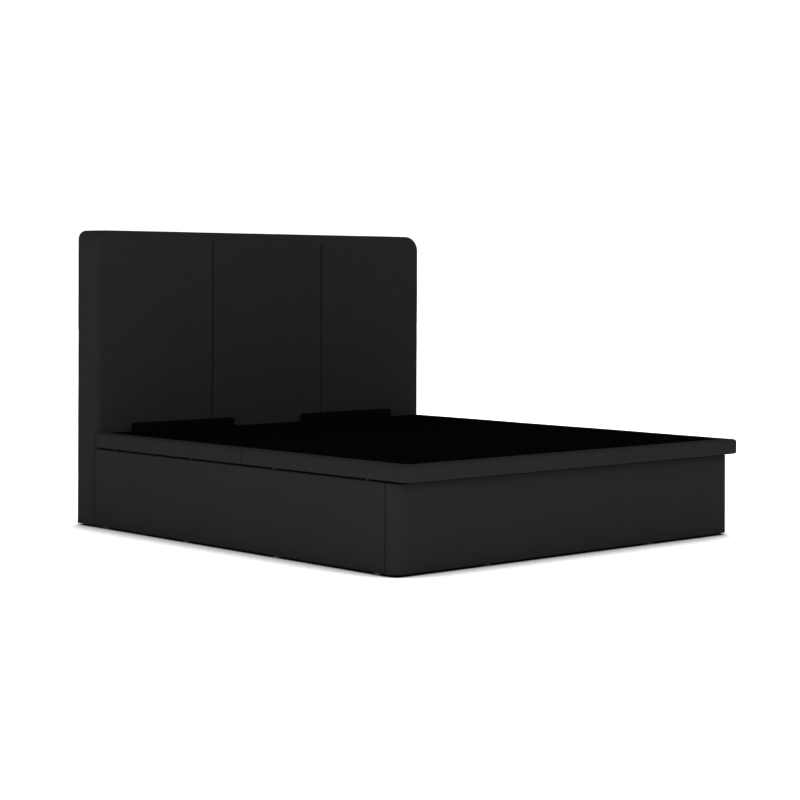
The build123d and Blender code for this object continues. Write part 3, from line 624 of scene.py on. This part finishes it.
# ---------------------------------------------------------------- foot panel
# The foot is a thicker board whose two front corners are rounded, with foam and the same cloth
# round its front, its corners and its top and bottom edges.
low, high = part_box("foot_cover")
board_low, board_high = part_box("foot_panel")
foot_corner = 0.045
bm = block(low, high)
round_off(bm, foot_corner, 12, lambda middle, run: along(run.z) and at(middle.y, low.y))
round_off(bm, panel_round, 5, lambda middle, run: not at(middle.y, high.y) and abs(run.z) < 0.1
          or at(middle.y, high.y) and along(run.z))
quilt(bm, low, high, (panel_cell, 0, panel_cell))
soften(bm, panel_rise, panel_wave, 7)
foot_upholstery = piece_from(bm, "foot_upholstery", charcoal)
fill_out(foot_upholstery, lambda place: not (
    place.y <= low.y + face_depth and within(place.x, low.x, high.x, foot_corner)
    and within(place.z, low.z, high.z, panel_hold)), panel_swell)
bm = block((board_low.x - board_gap, board_low.y - board_gap, board_low.z - board_gap),
           (board_high.x + board_gap, board_high.y + 0.02, board_high.z + board_gap))
round_off(bm, foot_corner - foam, 12, lambda middle, run: along(run.z) and middle.y < board_low.y)
cut_out(foot_upholstery, bm)
upholstered(foot_upholstery, "base", "foot_cover")

# ---------------------------------------------------------------- headboard frame
# Two stiles, a deep top rail and three cross rails in pine carry the headboard's face board; a thin
# hardboard sheet closes the back.
dress(pine_upright, "headboard_stile_left", "headboard_stile_right")
dress(pine_across, "headboard_top_rail", "headboard_cross_rails")
dress(hardboard, "headboard_back_panel")

# ---------------------------------------------------------------- headboard border
# A band of cloth over deep foam runs up one side of the headboard, over the top and down the other.
# It rolls from a seam on the front, round the edge, to a fold tucked under the back cloth.
low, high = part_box("headboard_cover")
face_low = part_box("headboard_face_board")[0]
back_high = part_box("headboard_back_panel")[1]
pocket_low, pocket_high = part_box("head_panel")
panel_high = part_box("side_cover_left")[1]
head_corner, head_back_corner = 0.072, 0.038
front_round, back_round = 0.030, 0.008
border_width = front_round + 0.001
head_rise, head_wave = 0.0005, 0.14
groove_shade_share = 0.8
side_foam = face_low.x - low.x - board_gap


def border_section():
    """The band's closed section as (distance in from the outer edge, y)."""
    section = [(border_width, face_low.y - board_gap), (border_width, low.y)]
    for step in range(11):
        turn = pi / 2 * step / 10
        section.append((front_round * (1 - sin(turn)), low.y + front_round * (1 - cos(turn))))
    for step in range(1, 4):
        section.append((0.0, low.y + front_round + (high.y - back_round - low.y - front_round) * step / 4))
    for step in range(5):
        turn = pi / 2 * step / 4
        section.append((back_round * (1 - cos(turn)), high.y - back_round * (1 - sin(turn))))
    return section + [(side_foam, high.y), (side_foam, face_low.y - board_gap)]


bm = bmesh.new()
section = [bm.verts.new((low.x + inset, y, low.z)) for inset, y in border_section()]
ring = [bm.edges.new((a, b)) for a, b in zip(section, section[1:] + section[:1])]
bmesh.ops.contextual_create(bm, geom=ring)


def edges_of(made):
    return [g for g in made if isinstance(g, bmesh.types.BMEdge)]


def verts_of(made):
    return [g for g in made if isinstance(g, bmesh.types.BMVert)]


def run_on(bm, ring, move, steps):
    """Carries the ring of edges along a straight stretch."""
    for _ in range(steps):
        made = bmesh.ops.extrude_edge_only(bm, edges=ring)["geom"]
        bmesh.ops.translate(bm, vec=move / steps, verts=verts_of(made))
        ring = edges_of(made)
    return ring


def turn_corner(bm, ring, centre, angle, steps):
    """Carries the ring of edges round a corner of the outline."""
    made = bmesh.ops.spin(bm, geom=ring, cent=centre, axis=(0, 1, 0), angle=angle, steps=steps)
    return edges_of(made["geom_last"])


rise = high.z - head_corner - low.z
span = high.x - low.x - 2 * head_corner
ring = run_on(bm, ring, Vector((0, 0, rise)), 30)
ring = turn_corner(bm, ring, (low.x + head_corner, 0, high.z - head_corner), pi / 2, 14)
ring = run_on(bm, ring, Vector((span, 0, 0)), 42)
ring = turn_corner(bm, ring, (high.x - head_corner, 0, high.z - head_corner), pi / 2, 14)
ring = run_on(bm, ring, Vector((0, 0, -rise)), 30)
bmesh.ops.contextual_create(bm, geom=ring)
# The corners tighten from the front foam to the back edge.
for v in bm.verts:
    share = max(0.0, (v.co.y - face_low.y) / (high.y - face_low.y))
    tighter = share * (head_corner - head_back_corner)
    sign = 1 if v.co.x > 0 else -1
    if v.co.z > high.z - head_corner - 1e-5 and abs(v.co.x) > high.x - head_corner - 1e-5:
        centre = Vector((sign * (high.x - head_corner), v.co.y, high.z - head_corner))
        spoke = v.co - centre
        inset = head_corner - spoke.length
        shift = Vector((sign * tighter, 0, tighter))
        v.co = centre + shift + spoke.normalized() * (head_corner - tighter - inset)
# Where a side panel is drawn up against the foam, shade is painted into the groove: the cloth darkens towards
# the front edge, below the panel's top.
seam_shade = bm.verts.layers.float.new("seam_shade")
for v in bm.verts:
    if v.co.z < panel_high.z:
        v[seam_shade] = max(0.0, 1 - (v.co.y - low.y) / (front_round * groove_shade_share))
soften(bm, head_rise, head_wave, 11)
border = piece_from(bm, "headboard_border", charcoal)
cut_out(border, block((pocket_low.x - 0.001, low.y - 0.02, low.z - 0.01),
                      (pocket_high.x + 0.001, pocket_high.y + 0.001, pocket_high.z + 0.001)))
upholstered(border, "base", "headboard_cover", fill=0.9)

# ---------------------------------------------------------------- headboard front
# Three tall panels of cloth over foam, sewn to each other with two upright seams that pull into the
# foam, and laid flush against the border at the sides and the top.
seam_offset, seam_roll, seam_depth, seam_fade = 0.326, 0.018, 0.008, 0.030
pucker_share, puckers_per_metre, crowding = 0.22, 38, 0.28
front_hold, front_swell = 0.01, 0.0016
front_left, front_right = low.x + border_width, high.x - border_width
front_bottom, front_top = pocket_high.z + 0.0015, high.z - border_width
inner_corner = head_corner - border_width


def seam_pull_and_shade(x, z):
    """How far a point of the cloth is drawn into the nearer sewn line, from 0 to 1; the same share darkens
    the cloth there as painted shade.
    """
    pucker = seam_roll * (1 + pucker_share * noise.noise(Vector((x, 0, z * puckers_per_metre))))
    near = max(0.0, 1 - abs(abs(x) - seam_offset) / pucker)
    fade = min(1.0, max(0.0, (front_top - z) / seam_fade))
    return (1 - sqrt(1 - near * near)) * (1 - (1 - fade) ** 2)


def crowd(t, first, last):
    """Moves rows towards the ends that are sewn."""
    return t - (first * sin(pi * t) * (1 - t) - last * sin(pi * t) * t) * crowding


def front_panel(name, left, right, sewn_left, sewn_right):
    bm = bmesh.new()
    bmesh.ops.create_grid(bm, x_segments=48, y_segments=76, size=0.5)
    for v in bm.verts:
        x = left + crowd(v.co.x + 0.5, sewn_left, sewn_right) * (right - left)
        z = front_bottom + (v.co.y + 0.5) * (front_top - front_bottom)
        for corner_x, sign in ((front_left + inner_corner, -1), (front_right - inner_corner, 1)):
            s, t = sign * (x - corner_x) / inner_corner, (z - front_top + inner_corner) / inner_corner
            if s > 0 and t > 0:
                x = corner_x + sign * inner_corner * s * sqrt(1 - t * t / 2)
                z = front_top - inner_corner + inner_corner * t * sqrt(1 - s * s / 2)
        v.co = (x, low.y + seam_depth * seam_pull_and_shade(x, z), z)
    bmesh.ops.reverse_faces(bm, faces=bm.faces)
    panel = piece_from(bm, name, charcoal)
    fill_out(panel, lambda place: place.x < left + seam_roll or place.x > right - seam_roll
             or not within(place.z, front_bottom, front_top, front_hold), front_swell)
    bm = bmesh.new()
    bm.from_mesh(panel.data)
    # Painted shade: the cloth is darkened as far as it is drawn into the nearer seam.
    seam_shade = bm.verts.layers.float.new("seam_shade")
    for v in bm.verts:
        v[seam_shade] = seam_pull_and_shade(v.co.x, v.co.z)
    made = bmesh.ops.extrude_edge_only(bm, edges=[e for e in bm.edges if e.is_boundary])["geom"]
    for v in verts_of(made):
        v.co.y = face_low.y - board_gap
    bmesh.ops.contextual_create(bm, geom=edges_of(made))
    soften(bm, head_rise, head_wave, 11)
    bmesh.ops.recalc_face_normals(bm, faces=bm.faces)
    bm.to_mesh(panel.data)
    bm.free()
    smooth(panel)
    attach(panel, "base")


front_panel("headboard_front_left", front_left, -seam_offset, 0, 1)
front_panel("headboard_front_middle", -seam_offset, seam_offset, 1, 1)
front_panel("headboard_front_right", seam_offset, front_right, 1, 0)

# ---------------------------------------------------------------- headboard back
# Black non-woven cloth covers the hardboard back. Its edge is folded under all round and held with
# wire staples, on top of the border's own turned-in cloth.


def non_woven(name, dark, light):
    """Pressed fibre cloth: a random felt with a fine grid of heat-bonded dimples."""
    finish, tree, skin, place = new_finish(name)
    lie = use(tree, cloth_lie, {"Place": place["Object"], "Facing": place["Normal"]})["Lie"]
    fibres = use(tree, slubs, {"Lie": lie, "Length": 0.014, "Width": 0.0012})["Fleck"]
    dimples = use(tree, plain_weave, {"Lie": lie, "Thread": 0.0024})["Height"]
    pressed = maths(tree, "GREATER_THAN", dimples, 0.75)
    colour = blend_colour(tree, share_of(tree, fibres, 0.9), grey(dark), grey(light))
    marked = blend_colour(tree, share_of(tree, pressed, 0.35), colour, grey(dark))
    tree.links.new(marked, skin.inputs["Base Color"])
    roughened(tree, skin, fibres, 0.85, 1.0)
    relief = maths(tree, "SUBTRACT", share_of(tree, fibres, 0.0003), share_of(tree, pressed, 0.0002))
    bumped(tree, skin, relief, 0.5)
    skin.inputs["Specular IOR Level"].default_value = 0.0
    return finish


back_black = non_woven("back_cloth_black", dark=0.006, light=0.016)
cloth_inset, cloth_thickness, hem_width, hem_fold = 0.013, 0.0008, 0.018, 0.0008
back_cloth_corner = head_back_corner - cloth_inset
cloth_low = Vector((low.x + cloth_inset, back_high.y, low.z + 0.003))
cloth_high = Vector((high.x - cloth_inset, back_high.y + cloth_thickness, high.z - cloth_inset))
bm = block(cloth_low, cloth_high)
round_off(bm, back_cloth_corner, 10, lambda middle, run: along(run.y) and at(middle.z, cloth_high.z))
outside = [f for f in bm.faces if f.normal.y > 0.9]
bmesh.ops.inset_region(bm, faces=outside, thickness=hem_width, depth=0.0)
bmesh.ops.inset_region(bm, faces=outside, thickness=hem_fold, depth=-cloth_thickness * 0.5)
quilt(bm, cloth_low, cloth_high, (0.05, 0, 0.05))
for v in bm.verts:
    if v.co.y > back_high.y + 1e-5:
        v.co.y += 0.0006 * (1 + noise.noise(v.co / 0.11))
back_cloth = piece_from(bm, "headboard_back_cloth", back_black)
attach(back_cloth, "base")


def make_staple():
    """A wire staple as driven: its crown along X, its back up Z, its two short legs down."""
    wire, reach, leg, bend = 0.0006, 0.0050, 0.0012, 0.0009
    upright, crown = Vector((0, 0, leg - bend)), Vector((2 * (reach - bend), 0, 0))
    bm = bmesh.new()
    bmesh.ops.create_circle(bm, segments=6, radius=wire, cap_ends=True,
                            matrix=Matrix.Translation((-reach, 0, -leg)))
    ring = bm.edges[:]
    for move in (upright, None, crown, None, -upright):
        if move is not None:
            ring = run_on(bm, ring, move, 1)
            continue
        middle = sum((v.co for e in ring for v in e.verts), Vector()) / (2 * len(ring))
        inward = bend if middle.x < 0 else 0.0
        ring = turn_corner(bm, ring, (middle.x + inward, 0, middle.z - bend + inward), pi / 2, 2)
    bmesh.ops.contextual_create(bm, geom=ring)
    bmesh.ops.recalc_face_normals(bm, faces=bm.faces)
    mesh = bpy.data.meshes.new("staple")
    bm.to_mesh(mesh)
    bm.free()
    return mesh


staple, staple_step, askew = make_staple(), 0.055, 0.18
staple_wire = bare_metal("staple_wire", (0.16, 0.165, 0.17, 1), grey(0.26), rough=0.42, crystal=0.002)


def staple_rows(name, body, out, rows):
    """Rows of staples from one place to another, each a little askew, their backs towards out."""
    bm = bmesh.new()
    for start, end in rows:
        run = Vector(end) - Vector(start)
        aside = out.cross(run).normalized()
        count = max(2, round(run.length / staple_step))
        for number in range(count):
            place = Vector(start) + run * (number + 0.5) / count
            crown = (run.normalized() + aside * askew * noise.noise(place * 60)).normalized()
            done = len(bm.verts)
            bm.from_mesh(staple)
            bm.verts.ensure_lookup_table()
            turn = Matrix((crown, out.cross(crown), out)).transposed().to_4x4()
            bmesh.ops.transform(bm, matrix=Matrix.Translation(place) @ turn, verts=bm.verts[done:])
    row = piece_from(bm, name, staple_wire)
    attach(row, body)


left, right = cloth_low.x + hem_width / 2, cloth_high.x - hem_width / 2
bottom, top = cloth_low.z + hem_width / 2, cloth_high.z - hem_width / 2
face = cloth_high.y + 0.0016
shoulder = top - back_cloth_corner
staple_rows("back_cloth_staples", "base", Vector((0, 1, 0)), (
    ((left, face, bottom), (left, face, shoulder)),
    ((left + back_cloth_corner, face, top), (right - back_cloth_corner, face, top)),
    ((right, face, shoulder), (right, face, bottom)), ((right, face, bottom), (left, face, bottom))))

# ---------------------------------------------------------------- cloth turned into the box
# The panels' cloth is drawn over their top edges and stapled down inside, folded once; it is
# cut short of the lift's plates.
turned_down, turned_thick, cut_short = 0.032, 0.0014, 0.004
foot_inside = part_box("foot_panel")[1].y


def turned_strip(name, start, end, out):
    """A strip of folded cloth on the inside of a panel, from start to end, which lie on its top corner."""
    outward = out * turned_thick
    corners = [start, end, start + outward, end + outward]
    strip_low = Vector([min(c[a] for c in corners) for a in range(3)]) - Vector((0, 0, turned_down))
    strip_high = Vector([max(c[a] for c in corners) for a in range(3)])
    bm = block(strip_low, strip_high)
    round_off(bm, turned_thick * 0.45, 2, lambda middle, run: (middle - start).dot(out) > turned_thick * 0.9)
    reach = strip_high - strip_low
    quilt(bm, strip_low, strip_high, [0.04 if abs(a) < 0.5 and r > 0.2 else 0 for a, r in zip(out, reach)])
    strip = piece_from(bm, name, charcoal)
    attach(strip, "base")
    drop = Vector((0, 0, -turned_down * 0.6)) + out * (turned_thick + 0.0004)
    return start + drop, end + drop


for side, sign in sides:
    panel_low, panel_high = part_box(f"side_panel_{side}")
    plate_low, plate_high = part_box(f"base_plate_{side}")
    inside = (panel_high.x if sign < 0 else panel_low.x) - sign * board_gap
    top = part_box(f"side_cover_{side}")[1].z - 0.001
    out = Vector((-sign, 0, 0))
    rows = [turned_strip(f"turned_cloth_{side}_{part}", Vector((inside, y_from + cut_short, top)),
                         Vector((inside, y_to - cut_short, top)), out)
            for part, y_from, y_to in (("foot", panel_low.y, plate_low.y),
                                       ("head", plate_high.y, panel_high.y))]
    staple_rows(f"turned_cloth_staples_{side}", "base", out, rows)
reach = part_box("side_panel_right")[0].x - cut_short
out = Vector((0, 1, 0))
ends = turned_strip("turned_cloth_foot", Vector((-reach, foot_inside + board_gap, top)),
                    Vector((reach, foot_inside + board_gap, top)), out)
staple_rows("turned_cloth_staples_foot", "base", out, [ends])

# ---------------------------------------------------------------- lift
# On each side two flat steel arms on riveted pins carry the platform, helped by a gas strut: black
# painted plates, arms and cylinders, and hard-chromed rods.
chromed_rod = bare_metal("chromed_rod", (0.72, 0.73, 0.75, 1), (0.80, 0.81, 0.82, 1), rough=0.10,
                         crystal=0.02)
cylinder_paint = powder_coated("cylinder_paint", 0.010, gloss=0.28)
for side, _ in sides:
    dress(black_steel, *[f"{part}_{side}" for part in ("base_plate", "lid_plate", "main_arm", "front_arm")])
    dress(cylinder_paint, f"strut_cylinder_{side}")
    dress(chromed_rod, f"strut_rod_{side}")
dress(zinc_plate, "base_plate_bolts", "lid_plate_screws", "arm_pivot_pins", "lid_pivot_pins",
      "strut_studs_base", "strut_studs_lid")

# ---------------------------------------------------------------- platform frame
# The platform is a pine frame in two halves, bolted together where the rim's cloth has its seam,
# with three slats under each half's board and black rubber bumpers that land on the panels.
rubber = moulded("bumper_rubber", 0.0015, 0.004, texture=0.0014, rough_from=0.7, rough_to=0.92)
dress(pine_lengthways, "frame_side_rails_head", "frame_side_rails_foot")
dress(pine_across, "frame_head_rail", "frame_foot_rail", "frame_joint_rails", "platform_slats")
dress(zinc_plate, "frame_joint_bolts", "stop_bolts")
dress(rubber, "platform_bumpers")

# ---------------------------------------------------------------- platform rim
# The mattress platform has a padded rim: foam and cloth over the outer edge of its timber frame, one
# U round the foot half and a straight run each side of the head half, folded under and stapled.
rim_width, rim_underwrap = 0.061, 0.048
rim_corner, deck_corner = 0.040, 0.025
rim_top_round, rim_bottom_round, rim_end_round = 0.012, 0.008, 0.005
rim_cell, rim_rise, rim_wave = 0.08, 0.0006, 0.12
past, sliver = 0.01, 1e-4
deck_low, deck_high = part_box("deck_cloth")
rail_low, rail_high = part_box("frame_foot_rail")
low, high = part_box("rim_cover_foot")


def round_rim_end(bm, end, bottom, chosen):
    """Rounds the rim's end where its two lengths of cloth are sewn together, but not underneath, and paints
    shade into the cloth close to that join.
    """
    round_off(bm, rim_end_round, 3,
              lambda middle, run: at(middle.y, end) and not at(middle.z, bottom) and chosen(middle))
    # Painted shade: the cloth darkens close to the rim's end.
    seam_shade = bm.verts.layers.float.new("seam_shade")
    for v in bm.verts:
        v[seam_shade] = max(0.0, 1 - abs(v.co.y - end) / rim_end_round)


def rim_cutters(low, high, far):
    """What the rim's cloth wraps round: the deck, the frame and the open middle underneath."""
    layers = ((rim_width, deck_corner, rail_high.z, high.z + past),
              (foam, rim_corner - foam, rail_low.z, rail_high.z),
              (rim_underwrap, deck_corner, low.z - past, rail_low.z))
    for inset, corner, bottom, top in layers:
        start = low.y + inset - board_gap
        bm = block((bed_low.x + inset - board_gap, start, bottom - sliver),
                   (bed_high.x - inset + board_gap, far, top + sliver))
        round_off(bm, corner, 8, lambda middle, run: along(run.z) and at(middle.y, start))
        yield bm


bm = block(low, high)
round_off(bm, rim_corner, 12, lambda middle, run: along(run.z) and at(middle.y, low.y))
round_off(bm, rim_top_round, 6, lambda middle, run: at(middle.z, high.z) and not at(middle.y, high.y))
round_off(bm, rim_bottom_round, 5, lambda middle, run: at(middle.z, low.z) and not at(middle.y, high.y))
round_rim_end(bm, high.y, low.z, lambda middle: True)
quilt(bm, low, high, (rim_cell, rim_cell, 0))
soften(bm, rim_rise, rim_wave, 17)
rim_foot = piece_from(bm, "rim_upholstery_foot", charcoal)
cut_out(rim_foot, *rim_cutters(low, high, high.y + 0.02))
upholstered(rim_foot, "lid", "rim_cover_foot")

for side, sign in sides:
    low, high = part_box(f"rim_cover_{side}")
    outer = high.x if sign > 0 else low.x
    bm = block(low, high + turned_end)
    round_off(bm, rim_top_round, 6, lambda middle, run: at(middle.x, outer) and at(middle.z, high.z))
    round_off(bm, rim_bottom_round, 5, lambda middle, run: at(middle.x, outer) and at(middle.z, low.z))
    round_rim_end(bm, low.y, low.z, lambda middle: abs(middle.x - outer) < rim_width - 0.001)
    quilt(bm, low, high, (0, rim_cell, 0))
    soften(bm, rim_rise, rim_wave, 17)
    rim = piece_from(bm, f"rim_upholstery_{side}", charcoal)
    around = ((bed_high.x - foam + board_gap, rail_low.z - board_gap, rail_high.z + board_gap),
              (bed_high.x - rim_underwrap, low.z - past, rail_low.z))
    for reach, bottom, top in around:
        across = sorted((sign * reach, sign * 0.5))
        cut_out(rim, block((across[0], low.y - past, bottom), (across[1], high.y + board_gap, top)))
    upholstered(rim, "lid", f"rim_cover_{side}")

# The folded cloth is stapled to the frame's underside.
foot_low, foot_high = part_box("rim_cover_foot")
staple_in = rim_underwrap - 0.009
under = foot_low.z - 0.0004
across = foot_high.x - staple_in
staple_rows("rim_staples", "lid", Vector((0, 0, -1)), (
    ((-across, foot_low.y + staple_in, under), (across, foot_low.y + staple_in, under)),
    ((-across, foot_low.y + staple_in + 0.03, under), (-across, high.y - 0.02, under)),
    ((across, high.y - 0.02, under), (across, foot_low.y + staple_in + 0.03, under))))

# ---------------------------------------------------------------- deck cloth
# Thin black non-woven cloth is stretched over the platform's boards, level with the rim, and cut
# round the two mattress stops.
deck_black = non_woven("deck_cloth_black", dark=0.0004, light=0.0018)
stop_boxes = [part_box(f"mattress_stop_{side}") for side, _ in sides]
stop_corner, stop_edge, notch_gap = 0.009, 0.004, 0.0003
bm = block(deck_low, deck_high)
round_off(bm, deck_corner, 8, lambda middle, run: along(run.z) and at(middle.y, deck_low.y))
deck = piece_from(bm, "deck_cloth_stretched", deck_black)
for stop_low, stop_high in stop_boxes:
    bm = block((stop_low.x - notch_gap, stop_low.y - notch_gap, deck_low.z - 0.01),
               (stop_high.x + notch_gap, deck_high.y + 0.01, deck_high.z + 0.01))
    round_off(bm, stop_edge, 4, lambda middle, run: along(run.z) and middle.y < stop_low.y)
    cut_out(deck, bm)
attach(deck, "lid")
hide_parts("deck_cloth")

# ---------------------------------------------------------------- mattress stops
# Two low padded blocks in black cloth stand on the deck against the headboard, bolted from below,
# and keep the mattress from sliding when the platform tilts.
for (side, _), (low, high) in zip(sides, stop_boxes):
    bm = block(low, high)
    round_off(bm, stop_corner, 6, lambda middle, run: along(run.y) and at(middle.z, high.z))
    round_off(bm, stop_edge, 4, lambda middle, run: not at(middle.z, low.z) and abs(run.y) < 0.5)
    quilt(bm, low, high, (0.02, 0, 0.012))
    soften(bm, 0.0008, 0.05, 23)
    stop = piece_from(bm, f"mattress_stop_padded_{side}", black_cloth)
    upholstered(stop, "lid", f"mattress_stop_{side}", slot="black_upholstery")
